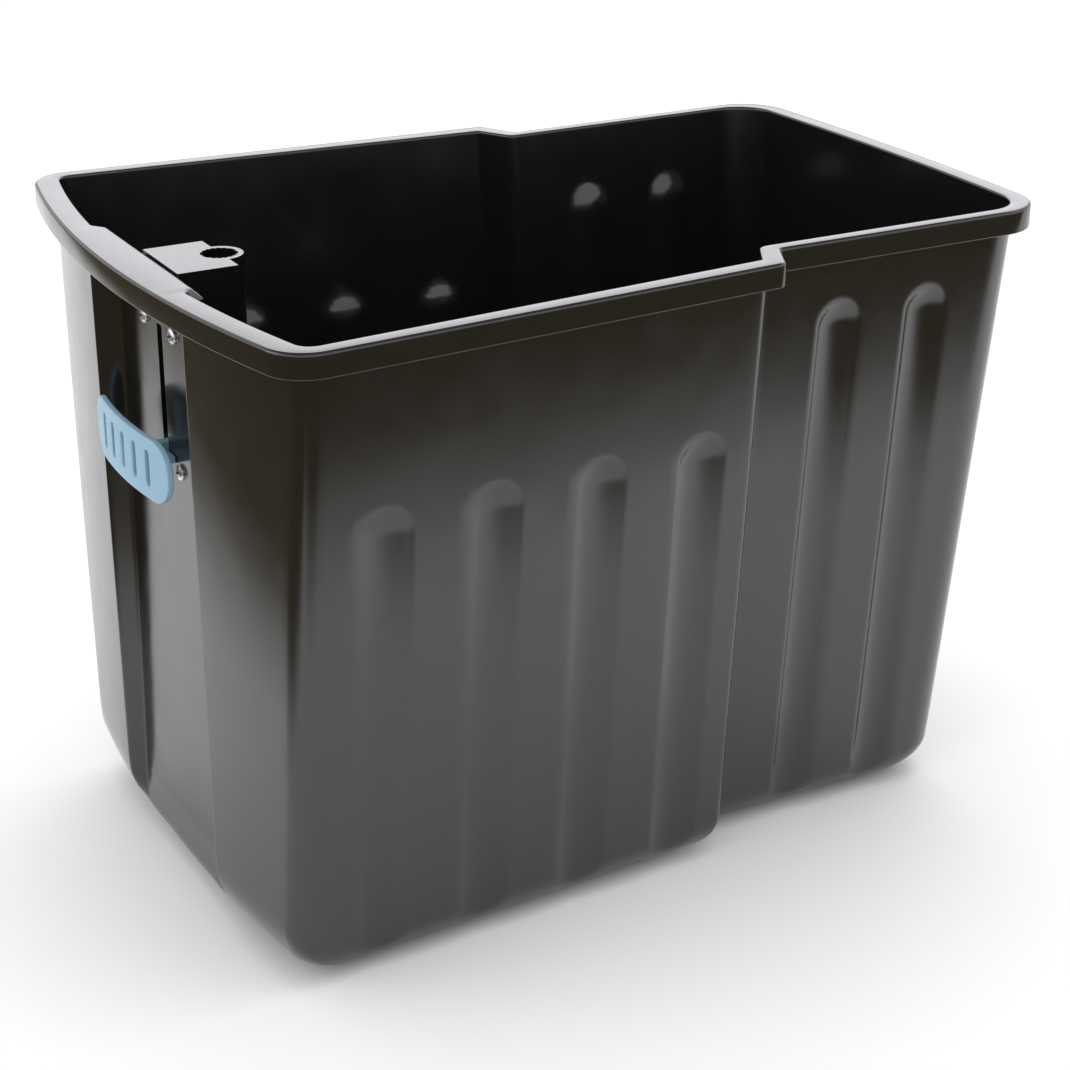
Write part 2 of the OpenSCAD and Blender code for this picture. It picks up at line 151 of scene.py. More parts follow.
def line(p, q, shares):
    share = np.asarray(shares)[:, None]
    return p * (1 - share) + q * share


def even_shares(count):
    return np.linspace(0.0, 1.0, count + 1)[1:]


def crowded_shares(low, high, centres, half_w, count, crowd=3.0):
    """Shares from low to high, closer together within half_w of the centres."""
    places = np.linspace(low, high, 4000)
    density = np.ones(len(places))
    for centre in centres:
        density += (crowd - 1) * soft_ramp((half_w + 4 - np.abs(places - centre)) / 4)
    total = np.cumsum(density)
    total = (total - total[0]) / (total[-1] - total[0])
    return (np.interp(even_shares(count), total, places) - low) / (high - low)


def rounded(a, b, c, radius, count):
    """The arc that rounds corner b between a and c, and its first point."""
    u, v = unit(a - b), unit(c - b)
    half = math.acos(u @ v) / 2
    centre = b + unit(u + v) * radius / math.sin(half)
    first = b + u * radius / math.tan(half)
    start = heading(first - centre)
    swing = heading(b + v * radius / math.tan(half) - centre) - start
    swing = (swing + math.pi) % (2 * math.pi) - math.pi
    return first, arc(centre, radius, start, start + swing, count)


def corner_centre(p, q, radius, bow_x, bow, end):
    """Centre of a corner arc that touches the line p-q and the bowed end from inside."""
    along = unit(q - p)
    start = p - outward(p, q) * radius
    from_bow = start - np.array([bow_x, 0.0])
    half_b = from_bow @ along
    rest = from_bow @ from_bow - (bow - radius) ** 2
    return start + along * (-half_b + end * math.sqrt(half_b**2 - rest))


# %% Groove sizes
GROOVE_DEPTH = 4.6
GROOVE_SHOULDER = 6.0
WIDE_GROOVES = [(HANDLE_X + 87.0 + i * 71.2, 104.0, 34.5) for i in range(4)]
NARROW_GROOVES = [(FAR_X - 90.0 - i * 65.0, 43.0, 31.0) for i in range(2)]
GROOVE_HALF_ZONE = 21.0
print("grooves along the wide part", [round(groove[0], 1) for groove in WIDE_GROOVES])

# %% Points of the half outline, in order, and what each belongs to
RECESS_YS = np.concatenate([[0, 12, 24, 36, 48, 58, 63], np.arange(65, 82, 0.8), [83.0, 85.0]])
BOW_COUNT = 18
HANDLE_CORNER_COUNT = 12
WIDE_COUNT = 124
STEP_COUNTS = (8, 3, 5)
NARROW_COUNT = 76
FAR_CORNER_COUNT = 12
FAR_BOW_COUNT = 20
POINTS = [len(RECESS_YS) + BOW_COUNT, HANDLE_CORNER_COUNT, WIDE_COUNT, sum(STEP_COUNTS),
          NARROW_COUNT, FAR_CORNER_COUNT, FAR_BOW_COUNT]
STARTS = np.cumsum([0] + POINTS)
WIDE_SHARES = crowded_shares(HANDLE_X + 26, STEP_X - 12, [g[0] for g in WIDE_GROOVES],
                             GROOVE_HALF_ZONE, WIDE_COUNT)
NARROW_SHARES = crowded_shares(STEP_X + 16, FAR_X - 40, [g[0] for g in NARROW_GROOVES[::-1]],
                               GROOVE_HALF_ZONE, NARROW_COUNT)
WIDE = slice(STARTS[2], STARTS[3])
NARROW = slice(STARTS[4], STARTS[5])
HANDLE_SHARE = np.concatenate([
    np.ones(POINTS[0]),
    1 - np.arange(1, HANDLE_CORNER_COUNT + 1) / HANDLE_CORNER_COUNT,
    np.zeros(sum(POINTS[2:]))])
print("points in a half outline", STARTS[-1])


# %% The half outline itself
def half_outline(inset, bow_r, radii, recess_x, depth_in):
    """Half outline in the plane, for insets of handle end, wide part, narrow part, far end, step."""
    xa, xb, xs = HANDLE_X + inset[0], FAR_X - inset[3], STEP_X - inset[4]
    bow, far_bow = bow_r - inset[0], FAR_BOW_R - inset[3]
    bow_x, far_x = xa + bow, xb - far_bow
    p0 = np.array([xa, HANDLE_HALF_W - inset[1]])
    p1 = np.array([xs, STEP_HALF_W - inset[1]])
    p2 = np.array([xs + STEP_RUN, REAR_HALF_W - inset[2]])
    p3 = np.array([xb, FAR_HALF_W - inset[2]])
    near = corner_centre(p0, p1, radii[0], bow_x, bow, -1)
    far = corner_centre(p2, p3, radii[1], far_x, far_bow, 1)
    near_turn = heading(near - np.array([bow_x, 0.0]))
    far_turn = heading(far - np.array([far_x, 0.0]))
    ys = np.concatenate([RECESS_YS,
                         np.linspace(RECESS_YS[-1], bow * math.sin(near_turn), BOW_COUNT + 1)[1:]])
    xs_bow = bow_x - np.sqrt(bow**2 - ys**2)
    spread = RECESS_SPREAD * depth_in
    side = (RECESS_MOUTH_W + spread - ys) / (RECESS_MOUTH_W - RECESS_FLOOR_W)
    sunk = soft_max(np.maximum(recess_x - xs_bow, 0), np.full(len(ys), 1e-4), 1.0)
    front = np.column_stack([xs_bow + sunk * soft_ramp(side), ys])
    wide_normal, narrow_normal = outward(p0, p1), outward(p2, p3)
    handle_corner = arc(near, radii[0], near_turn, heading(wide_normal), HANDLE_CORNER_COUNT)
    edge_first, edge = rounded(p0, p1, p2, radii[2], STEP_COUNTS[0])
    root_first, root = rounded(p1, p2, p3, radii[3], STEP_COUNTS[2])
    far_first = far + radii[1] * narrow_normal
    return np.vstack([
        front,
        handle_corner,
        line(handle_corner[-1], edge_first, WIDE_SHARES),
        edge,
        line(edge[-1], root_first, even_shares(STEP_COUNTS[1])),
        root,
        line(root[-1], far_first, NARROW_SHARES),
        arc(far, radii[1], heading(narrow_normal), far_turn, FAR_CORNER_COUNT),
        arc(np.array([far_x, 0.0]), far_bow, far_turn, 0.0, FAR_BOW_COUNT),
    ]), wide_normal, narrow_normal


# %% [markdown]
# ## Grooves
# The sides are stiffened by upright grooves, pressed in by round-nosed cores. On the real
# moulding their edges are rounded, so a boolean cut would look too sharp. Each wall point is
# moved inwards instead, by a profile of two arcs: the core's own and the rounded shoulder.
# The same rule with other radii gives the bumps on the inside.

# %% Depth of a groove at a point of the wall
def groove_depth(x, z, groove, grown):
    centre_x, drop, width = groove
    core = (width**2 / 4 + GROOVE_DEPTH**2) / (2 * GROOVE_DEPTH) + grown
    shoulder = GROOVE_SHOULDER - grown
    centre_z = TOP - drop - width / 2
    u = np.hypot(x - centre_x, np.maximum(z - centre_z, 0))
    edge = math.sqrt((core + shoulder) ** 2 - (shoulder + core - GROOVE_DEPTH) ** 2)
    change = edge * core / (core + shoulder)
    inner = np.sqrt(np.maximum(core**2 - u**2, 0)) + GROOVE_DEPTH - core
    outer = shoulder - np.sqrt(np.maximum(shoulder**2 - (edge - u) ** 2, 0))
    return np.where(u < change, inner, np.where(u < edge, outer, 0.0))


def press_grooves(flat, z, wide_normal, narrow_normal, grown, sunk):
    """Moves side points in by the grooves. sunk is how far the floor rounding has them already."""
    for part, normal, grooves in ((WIDE, wide_normal, WIDE_GROOVES),
                                  (NARROW, narrow_normal, NARROW_GROOVES)):
        x, height = flat[part, 0], z[part]
        depth = sum(groove_depth(x, height, groove, grown) for groove in grooves)
        extra = np.where(depth > 0, soft_max(depth, np.full(len(x), float(sunk)), 3.0) - sunk, 0)
        flat[part] -= normal * extra[:, None]


# %% Rings of the walls, the rounding to the floor and the rim
def wall_insets(drop):
    return OVERHANG + drop * np.tan(np.radians(DRAFT))


def recess_floor(drop, depth_in):
    lean = RECESS_LEAN * np.clip((drop - RECESS_LEAN_DROP) / (WALL_DROP - RECESS_LEAN_DROP), 0, 1)
    ledge = LEDGE_REACH * float(soft_ramp((LEDGE_H + WALL - depth_in - drop) / LEDGE_H))
    return FLOOR_X - lean - ledge + depth_in


def close_ring(flat, z):
    ring = np.column_stack([flat, z])
    other = ring[-2:0:-1] * [1, -1, 1]
    return np.vstack([ring, other])


def wall_ring(drop, depth_in):
    share = drop / WALL_DROP
    bow = HANDLE_BOW_R * (1 - share) + LOW_BOW_R * share
    radii = (WALL_CORNER_HANDLE - depth_in, WALL_CORNER_FAR - depth_in,
             STEP_EDGE - depth_in, STEP_ROOT + depth_in)
    flat, wide_normal, narrow_normal = half_outline(
        wall_insets(drop) + depth_in, bow, radii, recess_floor(drop, depth_in), depth_in)
    z = np.full(len(flat), TOP - drop)
    press_grooves(flat, z, wide_normal, narrow_normal, depth_in, 0.0)
    return close_ring(flat, z)


def base_ring(turn, depth_in):
    """turn goes from 0, upright wall, to 90 degrees, flat floor."""
    sine, cosine = math.sin(math.radians(turn)), math.cos(math.radians(turn))
    handle_in = HANDLE_BASE_R - (HANDLE_BASE_R - depth_in) * cosine
    side_in = SIDE_BASE_R - (SIDE_BASE_R - depth_in) * cosine
    blend = 1 - cosine
    inset = wall_insets(WALL_DROP) + np.array([handle_in, side_in, side_in, side_in, side_in])
    radii = (WALL_CORNER_HANDLE * (1 - blend) + FLOOR_CORNER * blend - depth_in,
             WALL_CORNER_FAR * (1 - blend) + FLOOR_CORNER * blend - depth_in,
             max(STEP_EDGE - side_in, 1.0), STEP_ROOT + side_in)
    flat, wide_normal, narrow_normal = half_outline(
        inset, LOW_BOW_R, radii, recess_floor(WALL_DROP, depth_in), depth_in)
    side_z = SIDE_BASE_R - (SIDE_BASE_R - depth_in) * sine
    handle_z = HANDLE_BASE_R - (HANDLE_BASE_R - depth_in) * sine
    z = FOOT_H + side_z * (1 - HANDLE_SHARE) + handle_z * HANDLE_SHARE
    press_grooves(flat, z, wide_normal, narrow_normal, depth_in, side_in - depth_in)
    return close_ring(flat, z)


def rim_ring(inset, z):
    radii = (RIM_CORNER_HANDLE - inset, RIM_CORNER_FAR - inset, STEP_EDGE - inset, STEP_ROOT + inset)
    flat, _, _ = half_outline(np.full(5, float(inset)), HANDLE_BOW_R, radii, HANDLE_X - 100, 0.0)
    return close_ring(flat, np.full(len(flat), float(z)))


# %% [markdown]
# ## The tub as one closed skin
# The section runs from the middle of the underside up the outer wall, under the rim, down and
# up the turned-down lip, over the rounded rim and down the inner wall to the inner floor. One
# list of rings follows that track. Levels are close together only where the groove tops and
# the small roundings need them, which keeps the mesh far below the limit.

# %% Levels of the rings
BASE_TURNS = np.linspace(90, 0, 15)
WALL_LEVELS = np.concatenate([
    np.linspace(50, 262, 12), np.arange(268, 316, 2.5), np.linspace(322, 334, 3),
    np.arange(338, 376, 2.5), np.linspace(381, 396, 4)])
SMALL_TURNS = np.radians(np.linspace(0, 90, 6))
LIP_EDGE = 0.8
INNER_EDGE = 1.2


def tub_rings():
    rings = [base_ring(turn, 0.0) for turn in BASE_TURNS]
    rings += [wall_ring(TOP - level, 0.0) for level in WALL_LEVELS]
    rings += [wall_ring(drop, 0.0) for drop in np.linspace(LEDGE_H + WALL + 1.5, WALL, 8)]
    rings += [rim_ring(LIP_T, TOP - WALL), rim_ring(LIP_T, TOP - LIP_H + LIP_EDGE)]
    for turn in SMALL_TURNS[1:]:
        rings.append(rim_ring(LIP_T - LIP_EDGE * (1 - math.cos(turn)),
                              TOP - LIP_H + LIP_EDGE * (1 - math.sin(turn))))
    for turn in SMALL_TURNS:
        rings.append(rim_ring(LIP_EDGE * (1 - math.sin(turn)),
                              TOP - LIP_H + LIP_EDGE * (1 - math.cos(turn))))
    for turn in SMALL_TURNS:
        rings.append(rim_ring(RIM_EDGE_R * (1 - math.cos(turn)),
                              TOP - RIM_EDGE_R * (1 - math.sin(turn))))
    for turn in SMALL_TURNS:
        rings.append(wall_ring(INNER_EDGE * (1 - math.cos(turn)),
                               WALL - INNER_EDGE * (1 - math.sin(turn))))
    rings += [wall_ring(drop, WALL) for drop in np.linspace(2.2, LEDGE_H + 1.5, 7)]
    rings += [wall_ring(TOP - level, WALL) for level in WALL_LEVELS[::-2]]
    rings += [base_ring(turn, WALL) for turn in BASE_TURNS[::-1]]
    return rings


# %% A mesh from rings
def mesh_object(name, vertices, faces, smooth=True):
    mesh = bpy.data.meshes.new(name)
    mesh.from_pydata([tuple(v) for v in vertices], [], faces)
    mesh.validate()
    mesh.polygons.foreach_set("use_smooth", [smooth] * len(mesh.polygons))
    piece = bpy.data.objects.new(name, mesh)
    bpy.context.scene.collection.objects.link(piece)
    return piece


def ring_faces(ring_count, n):
    faces = [list(range(n))[::-1]]
    for k in range(ring_count - 1):
        for i in range(n):
            a, b = k * n + i, k * n + (i + 1) % n
            faces.append([a, a + n, b + n, b])
    faces.append([(ring_count - 1) * n + i for i in range(n)])
    return faces


# %% Build the tub's skin
rings = tub_rings()
RING_POINTS = len(rings[0])
tub = mesh_object("tub_moulding", np.vstack(rings) * MM, ring_faces(len(rings), RING_POINTS))
print("tub rings", len(rings), "points each", RING_POINTS)


# %% [markdown]
# ## Helpers for the other pieces
# Small pieces start as boxes, turned profiles or flat plates, all with rounded edges. A few
# are joined or cut by booleans. Modifiers are always applied to a plain mesh at the end.

# %% Plain mesh from a piece with its modifiers
def plain_mesh(piece):
    bpy.context.view_layer.update()
    graph = bpy.context.evaluated_depsgraph_get()
    return bpy.data.meshes.new_from_object(piece.evaluated_get(graph))


def apply_all(piece):
    mesh = plain_mesh(piece)
    piece.modifiers.clear()
    piece.data = mesh


def combine(piece, other, operation):
    """Boolean of piece with other, which is used up."""
    modifier = piece.modifiers.new("combine", "BOOLEAN")
    modifier.operation = operation
    modifier.solver = "EXACT"
    modifier.object = other
    apply_all(piece)
    bpy.data.objects.remove(other)


def smooth_by_angle(piece, degrees=32):
    piece.data.polygons.foreach_set("use_smooth", [True] * len(piece.data.polygons))
    piece.data.set_sharp_from_angle(angle=math.radians(degrees))


def from_bmesh(name, shape):
    mesh = bpy.data.meshes.new(name)
    shape.to_mesh(mesh)
    shape.free()
    piece = bpy.data.objects.new(name, mesh)
    bpy.context.scene.collection.objects.link(piece)
    return piece


# %% Box with rounded edges, corners in millimetres
def rounded_box(name, low, high, radius, segments=3):
    shape = bmesh.new()
    bmesh.ops.create_cube(shape, size=1.0)
    low, high = Vector(low) * MM, Vector(high) * MM
    for vertex in shape.verts:
        vertex.co = (low + high) / 2 + vertex.co * (high - low)
    bmesh.ops.bevel(shape, geom=shape.edges[:], offset=radius * MM, segments=segments,
                    profile=0.5, affect="EDGES")
    return from_bmesh(name, shape)


# %% Turned piece from a profile of radius and height, closed at both ends
def turned(name, profile, steps=64):
    turns = np.linspace(0, 2 * math.pi, steps, endpoint=False)
    rings = [np.column_stack([r * np.cos(turns), r * np.sin(turns), np.full(steps, h)])
             for r, h in profile]
    return mesh_object(name, np.vstack(rings) * MM, ring_faces(len(rings), steps))


def edge_profile(radius, low, high, edge, count=5):
    """Profile of a disc or pin from low to high with both rims rounded."""
    points = []
    for turn in np.linspace(-90, 0, count):
        points.append((radius - edge + edge * math.cos(math.radians(turn)),
                       low + edge + edge * math.sin(math.radians(turn))))
    for turn in np.linspace(0, 90, count):
        points.append((radius - edge + edge * math.cos(math.radians(turn)),
                       high - edge + edge * math.sin(math.radians(turn))))
    return points


# %% [markdown]
# ## Slot and feet of the tub

# %% Cut the slot for the grip's stem and add the four feet
SLOT_HALF_W = 4.0
SLOT_TOP = TOP - 42.5
SLOT_BOTTOM = TOP - 131.0
FOOT_R = 28.0
FEET = [(HANDLE_X + 77.0, 112.0), (HANDLE_X + 77.0, -112.0),
        (FAR_X - 80.0, 72.0), (FAR_X - 80.0, -72.0)]
combine(tub, rounded_box("slot_cutter", (FLOOR_X - 8, -SLOT_HALF_W, SLOT_BOTTOM),
                         (INNER_X + 4, SLOT_HALF_W, SLOT_TOP), 1.2), "DIFFERENCE")
foot = turned("foot", edge_profile(FOOT_R, 0.0, FOOT_H + 0.4, 1.0), 72)
body = bmesh.new()
body.from_mesh(tub.data)
for x, y in FEET:
    start = len(body.verts)
    body.from_mesh(foot.data)
    body.verts.ensure_lookup_table()
    bmesh.ops.translate(body, verts=body.verts[start:], vec=(x * MM, y * MM, 0))
body.to_mesh(tub.data)
body.free()
bpy.data.objects.remove(foot)
smooth_by_angle(tub, 36)
print("tub faces", len(tub.data.polygons))

# %% [markdown]
# ## Blue grip
# The plate is drawn flat, as a curve with rounded ends and five slots. It becomes a mesh, is
# cut into narrow strips, and is bent onto the grip's bow. Tongue and shelf are added behind.

# %% Sizes of the grip
GRIP_HALF_L = 60.0
GRIP_H = 38.5
GRIP_T = 4.0
GRIP_BOW_R = 320.0
GRIP_CORNER = 17.0
GRIP_EDGE = 0.8
GRIP_Z = TOP - 116.5
GRIP_FRONT_X = HANDLE_X + 3.3
GRIP_SLOTS = 5
GRIP_SLOT_PITCH = 18.0
GRIP_SLOT_W = 5.5
GRIP_SLOT_H = 23.0
TONGUE_HALF_W = 3.3
TONGUE_TOP = GRIP_Z + 1.5
TONGUE_H = 15.0
TONGUE_END = INNER_X + 8.5


# %% Flat outlines of the plate and its slots
def round_rectangle(half_w, half_h, radius, count=10):
    points = []
    for sx, sy, start in ((1, 1, 0), (-1, 1, 90), (-1, -1, 180), (1, -1, 270)):
        centre = np.array([sx * (half_w - radius), sy * (half_h - radius)])
        points.append(centre + radius * np.array([math.cos(math.radians(start)),
                                                  math.sin(math.radians(start))]))
        points.extend(arc(centre, radius, math.radians(start), math.radians(start + 90), count))
    return np.array(points)


def flat_plate(name, outlines, thickness, edge):
    curve = bpy.data.curves.new(name, "CURVE")
    curve.dimensions = "2D"
    curve.fill_mode = "BOTH"
    curve.extrude = (thickness / 2 - edge) * MM
    curve.bevel_depth = edge * MM
    curve.bevel_resolution = 3
    curve.offset = -edge * MM
    for outline in outlines:
        spline = curve.splines.new("POLY")
        spline.points.add(len(outline) - 1)
        for point, place in zip(spline.points, outline * MM):
            point.co = (place[0], place[1], 0, 1)
        spline.use_cyclic_u = True
    piece = bpy.data.objects.new(name, curve)
    bpy.context.scene.collection.objects.link(piece)
    mesh = plain_mesh(piece)
    bpy.data.objects.remove(piece)
    return mesh


# %% Bend the plate and join tongue and shelf
slots = []
for i in range(GRIP_SLOTS):
    slot_outline = round_rectangle(GRIP_SLOT_W / 2, GRIP_SLOT_H / 2, GRIP_SLOT_W / 2 - 0.05, 5)
    slot_outline[:, 0] += (i - (GRIP_SLOTS - 1) / 2) * GRIP_SLOT_PITCH
    slots.append(slot_outline[::-1])
plate = bmesh.new()
plate.from_mesh(flat_plate("plate", [round_rectangle(GRIP_HALF_L, GRIP_H / 2, GRIP_CORNER)] + slots,
                           GRIP_T, GRIP_EDGE))
bmesh.ops.remove_doubles(plate, verts=plate.verts[:], dist=1e-6)
for y in np.arange(-57, 58, 3.0):
    bmesh.ops.bisect_plane(plate, geom=plate.verts[:] + plate.edges[:] + plate.faces[:],
                           plane_co=(y * MM, 0, 0), plane_no=(1, 0, 0))
for vertex in plate.verts:
    across, up, out = vertex.co / MM
    behind = GRIP_T / 2 - out
    x = GRIP_FRONT_X + GRIP_BOW_R - math.sqrt((GRIP_BOW_R - behind) ** 2 - across**2)
    vertex.co = Vector((x, -across, GRIP_Z + up)) * MM
grip = from_bmesh("grip_moulding", plate)
plate_back = GRIP_FRONT_X + GRIP_T
combine(grip, rounded_box("tongue", (plate_back - 2, -TONGUE_HALF_W, TONGUE_TOP - TONGUE_H),
                          (TONGUE_END, TONGUE_HALF_W, TONGUE_TOP), 0.5), "UNION")
combine(grip, rounded_box("shelf", (plate_back - 1, -15.6, GRIP_Z - 8.5),
                          (FLOOR_X - 0.3, 15.6, GRIP_Z - 4.0), 0.8), "UNION")
smooth_by_angle(grip)
print("grip faces", len(grip.data.polygons))


# %% [markdown]
# ## Housing and slider
# These two are hidden for the most part, and their shape is plain. Each starts as a copy of
# its CAD piece: the triangles are merged, flat faces joined and the edges rounded.

# %% Copies of CAD pieces with rounded edges
def softened(name, node, edge):
    shape = bmesh.new()
    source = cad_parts[node]
    shape.from_mesh(source.data)
    shape.transform(source.matrix_world)
    bmesh.ops.remove_doubles(shape, verts=shape.verts[:], dist=2e-6)
    bmesh.ops.dissolve_limit(shape, angle_limit=math.radians(2), verts=shape.verts[:],
                             edges=shape.edges[:])
    piece = from_bmesh(name, shape)
    bevel = piece.modifiers.new("edges", "BEVEL")
    bevel.width = edge * MM
    bevel.segments = 2
    bevel.limit_method = "ANGLE"
    bevel.angle_limit = math.radians(40)
    apply_all(piece)
    smooth_by_angle(piece, 8)
    return piece


housing = softened("guide_housing_moulding", "guide_housing", 0.4)
slider = softened("lock_slider_moulding", "lock_slider", 0.4)
print("housing faces", len(housing.data.polygons), "slider faces", len(slider.data.polygons))

# %% [markdown]
# ## Screws
# The four housing screws are alike, so one is modelled, and a node group sets it on four
# points. The group ends in Realize Instances, so the result is one plain mesh.

# %% One pan head with a cross recess, its axis along -X
HEAD_R = 5.1
HEAD_H = 3.0
profile = [(HEAD_R - 0.2, -0.6), (HEAD_R, 0.0), (HEAD_R, 0.9)]
profile += [(HEAD_R * math.cos(math.radians(t)), 0.9 + (HEAD_H - 0.9) * math.sin(math.radians(t)))
            for t in range(15, 90, 10)]
profile = [(2.0, -18.0), (2.0, -0.6)] + profile
screw = turned("one_screw", profile, 48)
for turn in (0, 90):
    wing = rounded_box("wing", (-2.9, -0.6, HEAD_H - 1.7), (2.9, 0.6, HEAD_H + 1), 0.3, 2)
    wing.data.transform(Matrix.Rotation(math.radians(turn + 20), 4, "Z"))
    combine(screw, wing, "DIFFERENCE")
screw.data.transform(Matrix.Rotation(math.radians(-90), 4, "Y"))
smooth_by_angle(screw, 40)


# %% Node group that sets an object on points
def set_on_points(name, item, places, material):
    tree = bpy.data.node_groups.new("set on points", "GeometryNodeTree")
    sockets = tree.interface
    sockets.new_socket("Points", in_out="INPUT", socket_type="NodeSocketGeometry")
    item_socket = sockets.new_socket("Item", in_out="INPUT", socket_type="NodeSocketObject")
    material_socket = sockets.new_socket("Finish", in_out="INPUT", socket_type="NodeSocketMaterial")
    sockets.new_socket("Result", in_out="OUTPUT", socket_type="NodeSocketGeometry")
    start = tree.nodes.new("NodeGroupInput")
    info = tree.nodes.new("GeometryNodeObjectInfo")
    instance = tree.nodes.new("GeometryNodeInstanceOnPoints")
    realize = tree.nodes.new("GeometryNodeRealizeInstances")
    finish = tree.nodes.new("GeometryNodeSetMaterial")
    end = tree.nodes.new("NodeGroupOutput")
    tree.links.new(start.outputs["Item"], info.inputs["Object"])
    tree.links.new(start.outputs["Points"], instance.inputs["Points"])
    tree.links.new(info.outputs["Geometry"], instance.inputs["Instance"])
    tree.links.new(instance.outputs["Instances"], realize.inputs["Geometry"])
    tree.links.new(realize.outputs["Geometry"], finish.inputs["Geometry"])
    tree.links.new(start.outputs["Finish"], finish.inputs["Material"])
    tree.links.new(finish.outputs["Geometry"], end.inputs["Result"])
    piece = mesh_object(name, np.array(places) * MM, [])
    modifier = piece.modifiers.new("set on points", "NODES")
    modifier.node_group = tree
    modifier[item_socket.identifier] = item
    modifier[material_socket.identifier] = material
    apply_all(piece)
    return piece


# %% [markdown]
# ## Materials
# All finishes are procedural and use object coordinates. The black plastic is glossy, with
# the slight waviness of a large moulding and a very fine grain that softens reflections.

# %% Node helpers
def new_material(name, colour, roughness, metallic=0.0):
    material = bpy.data.materials.new(name)
    material.use_nodes = True
    shader = material.node_tree.nodes["Principled BSDF"]
    shader.inputs["Base Color"].default_value = (*colour, 1)
    shader.inputs["Roughness"].default_value = roughness
    shader.inputs["Metallic"].default_value = metallic
    material.diffuse_color = (*colour, 1)
    return material, material.node_tree, shader


def noise(tree, scale, detail=2.0, stretch=(1, 1, 1)):
    place = tree.nodes.new("ShaderNodeTexCoord")
    mapping = tree.nodes.new("ShaderNodeMapping")
    mapping.inputs["Scale"].default_value = stretch
    texture = tree.nodes.new("ShaderNodeTexNoise")
    texture.inputs["Scale"].default_value = scale
    texture.inputs["Detail"].default_value = detail
    tree.links.new(place.outputs["Object"], mapping.inputs["Vector"])
    tree.links.new(mapping.outputs["Vector"], texture.inputs["Vector"])
    return texture.outputs["Fac"]


def bump(tree, shader, layers):
    """Adds bumps to a shader. layers: noise, strength and depth in metres of each."""
    normal = None
    for height, strength, depth in layers:
        node = tree.nodes.new("ShaderNodeBump")
        node.inputs["Strength"].default_value = strength
        node.inputs["Distance"].default_value = depth
        tree.links.new(height, node.inputs["Height"])
        if normal is not None:
            tree.links.new(normal, node.inputs["Normal"])
        normal = node.outputs["Normal"]
    tree.links.new(normal, shader.inputs["Normal"])


def vary(tree, source, low, high, target):
    node = tree.nodes.new("ShaderNodeMapRange")
    node.inputs["From Min"].default_value = 0.3
    node.inputs["From Max"].default_value = 0.7
    node.inputs["To Min"].default_value = low
    node.inputs["To Max"].default_value = high
    tree.links.new(source, node.inputs["Value"])
    tree.links.new(node.outputs["Result"], target)


# %% The three finishes
def black_plastic():
    material, tree, shader = new_material("glossy_black_plastic", (0.0080, 0.0073, 0.0064), 0.16)
    shader.inputs["IOR"].default_value = 1.75
    vary(tree, noise(tree, 45.0, 3.0), 0.12, 0.18, shader.inputs["Roughness"])
    bump(tree, shader, [(noise(tree, 14.0, 1.0), 0.35, 0.0012), (noise(tree, 2600.0), 0.12, 0.00006)])
    return material


def blue_plastic():
    material, tree, shader = new_material("satin_blue_plastic", (0.285, 0.465, 0.610), 0.42)
    vary(tree, noise(tree, 90.0, 3.0), 0.38, 0.47, shader.inputs["Roughness"])
    bump(tree, shader, [(noise(tree, 60.0, 1.0), 0.15, 0.0003), (noise(tree, 2600.0), 0.15, 0.00005)])
    return material


def zinc_steel():
    material, tree, shader = new_material("zinc_plated_steel", (0.80, 0.81, 0.83), 0.3, 1.0)
    vary(tree, noise(tree, 700.0, 3.0), 0.24, 0.40, shader.inputs["Roughness"])
    bump(tree, shader, [(noise(tree, 1500.0, 2.0, (1, 4, 1)), 0.12, 0.00004)])
    return material


BLACK = black_plastic()
BLUE = blue_plastic()
ZINC = zinc_steel()

# %% Give every piece its finish
SCREW_PLACES = [(FLOOR_X, side * 23.5, TOP - drop) for drop in (43.0, 128.0) for side in (-1, 1)]
screws = set_on_points("housing_screws_set", screw, SCREW_PLACES, ZINC)
bpy.data.objects.remove(screw)
for piece, finish in ((tub, BLACK), (housing, BLACK), (slider, BLACK), (grip, BLUE)):
    piece.data.materials.clear()
    piece.data.materials.append(finish)
for name in ("grip_screw_upper", "grip_screw_lower"):
    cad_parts[name].data.materials.clear()
    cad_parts[name].data.materials.append(ZINC)
print("screws", len(screws.data.polygons), "faces")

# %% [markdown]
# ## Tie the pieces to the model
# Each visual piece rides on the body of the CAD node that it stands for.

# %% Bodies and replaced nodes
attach(tub, "box")
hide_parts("tub")
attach(housing, "box")
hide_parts("guide_housing")
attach(screws, "box")
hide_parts("housing_screw_1", "housing_screw_2", "housing_screw_3", "housing_screw_4")
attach(slider, "lock")
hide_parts("lock_slider")
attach(grip, "lock")
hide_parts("grip")

# %% [markdown]
# ## Floor, light and camera
# The object stands on a white floor under soft light. The floor and the world are white for
# the camera and in reflections, and the floor is a little dimmer as a light source.

# %% White for camera and mirror rays
def seen_directly(tree):
    path = tree.nodes.new("ShaderNodeLightPath")
    both = tree.nodes.new("ShaderNodeMath")
    both.operation = "MAXIMUM"
    tree.links.new(path.outputs["Is Camera Ray"], both.inputs[0])
    tree.links.new(path.outputs["Is Glossy Ray"], both.inputs[1])
    return both.outputs["Value"]


# %% World
WORLD_LIGHT = 1.0
world = bpy.data.worlds.new("white_room")
world.use_nodes = True
background = world.node_tree.nodes["Background"]
background.inputs["Color"].default_value = (1, 1, 1, 1)
strength = world.node_tree.nodes.new("ShaderNodeMapRange")
strength.inputs["To Min"].default_value = WORLD_LIGHT
strength.inputs["To Max"].default_value = 1.0
world.node_tree.links.new(seen_directly(world.node_tree), strength.inputs["Value"])
world.node_tree.links.new(strength.outputs["Result"], background.inputs["Strength"])
bpy.context.scene.world = world

